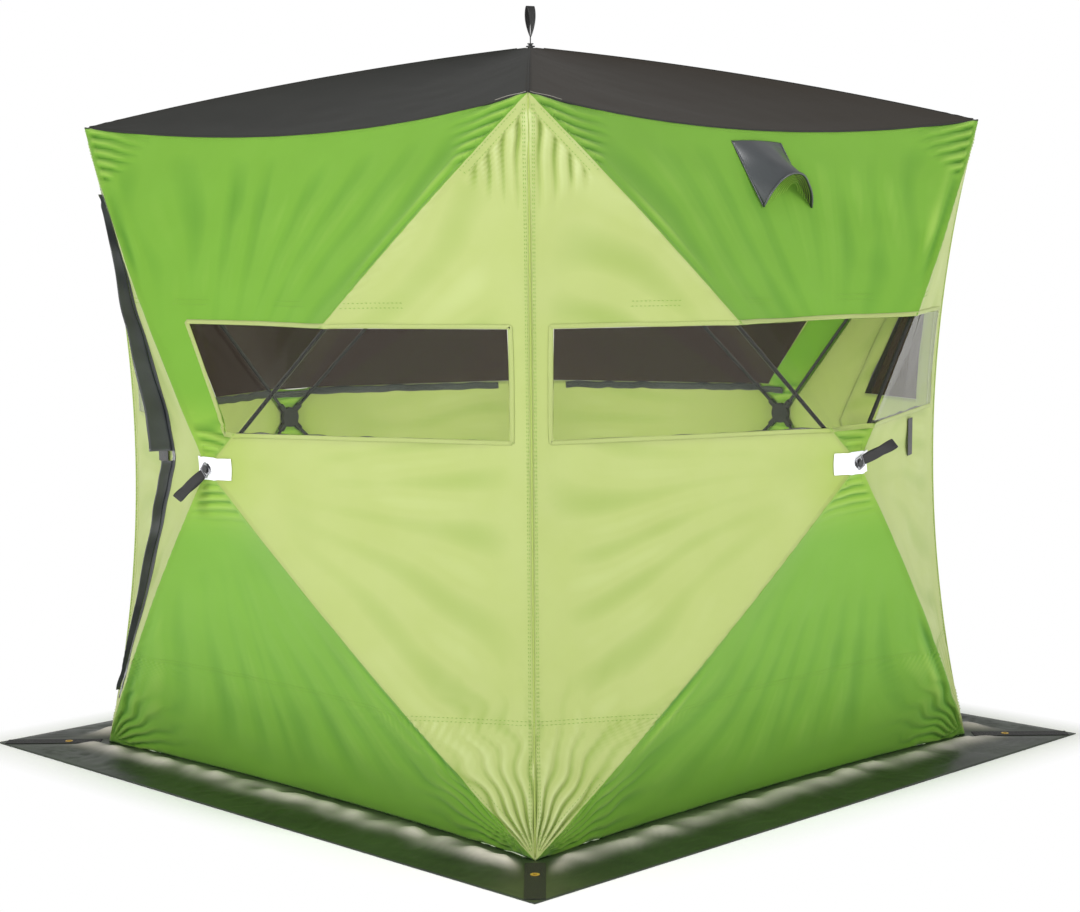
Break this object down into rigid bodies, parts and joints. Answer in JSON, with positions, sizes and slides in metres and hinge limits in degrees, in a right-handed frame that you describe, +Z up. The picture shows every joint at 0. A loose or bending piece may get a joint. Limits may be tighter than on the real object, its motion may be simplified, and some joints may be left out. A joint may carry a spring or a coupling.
{
  "type": "pop-up ice fishing hut",
  "caption": "Square pop-up cloth hut with walls and roof drawn out by sprung poles, window bands, zipped doors, vents and a snow skirt.",
  "frame": {"origin": "on the ground, at the middle of the floor square", "axes": "+Z up; the front wall with its door faces -Y and the vented right wall faces +X"},
  "size_m": [2.4448, 2.4448, 2.1487],
  "materials": {
    "green_cloth": "woven, semi-matt, lets light through",
    "lime_cloth": "woven, semi-matt, lets light through",
    "roof_cloth": "woven, matt",
    "skirt_cloth": "coated, slight sheen",
    "grey_coated_cloth": "coated, satin",
    "window_film": "tinted clear film",
    "black_webbing": "ribbed webbing",
    "reflective_tape": "retroreflective tape",
    "fibreglass_rod": "smooth",
    "hub_plastic": "moulded",
    "steel_wire": "bent wire",
    "brass_eyelet": "pressed"
  },
  "bodies": {
    "shell": {"front_top_panel": "green_cloth", "front_bottom_panel": "green_cloth", "front_right_panel": "lime_cloth", "front_door_surround": "lime_cloth", "front_window": "window_film", "front_poles": "fibreglass_rod", "front_hub": "hub_plastic", "front_reflector": "reflective_tape", "right_top_panel": "green_cloth", "right_bottom_panel": "green_cloth", "right_right_panel": "lime_cloth", "right_left_panel": "lime_cloth", "right_vent_hood": "grey_coated_cloth", "right_window": "window_film", "right_poles": "fibreglass_rod", "right_hub": "hub_plastic", "right_reflector": "reflective_tape", "back_top_panel": "green_cloth", "back_bottom_panel": "green_cloth", "back_right_panel": "lime_cloth", "back_door_surround": "lime_cloth", "back_window": "window_film", "back_poles": "fibreglass_rod", "back_hub": "hub_plastic", "back_reflector": "reflective_tape", "left_top_panel": "green_cloth", "left_bottom_panel": "green_cloth", "left_right_panel": "lime_cloth", "left_left_panel": "lime_cloth", "left_vent_hood": "grey_coated_cloth", "left_window": "window_film", "left_poles": "fibreglass_rod", "left_hub": "hub_plastic", "left_reflector": "reflective_tape", "tie_bands": "black_webbing", "roof": "roof_cloth", "snow_skirt": "skirt_cloth", "anchor_straps": "black_webbing", "anchor_eyelets": "brass_eyelet", "roof_poles": "fibreglass_rod", "roof_hub": "hub_plastic", "strap_rings": "steel_wire", "pull_straps": "black_webbing"},
    "front_door_leaf": {"front_door": "lime_cloth", "front_door_window": "window_film", "front_door_tab": "black_webbing", "front_storm_flap": "grey_coated_cloth"},
    "back_door_leaf": {"back_door": "lime_cloth", "back_door_window": "window_film", "back_door_tab": "black_webbing", "back_storm_flap": "grey_coated_cloth"}
  },
  "joints": [
    {"name": "front_door_hinge", "type": "hinge", "parent": "shell", "child": "front_door_leaf", "pos_m": [-0.855, -0.906, 0.895], "axis": [0, 0, -1], "range_deg": [0, 110]},
    {"name": "back_door_hinge", "type": "hinge", "parent": "shell", "child": "back_door_leaf", "pos_m": [0.855, 0.906, 0.895], "axis": [0, 0, -1], "range_deg": [0, 110]}
  ]
}
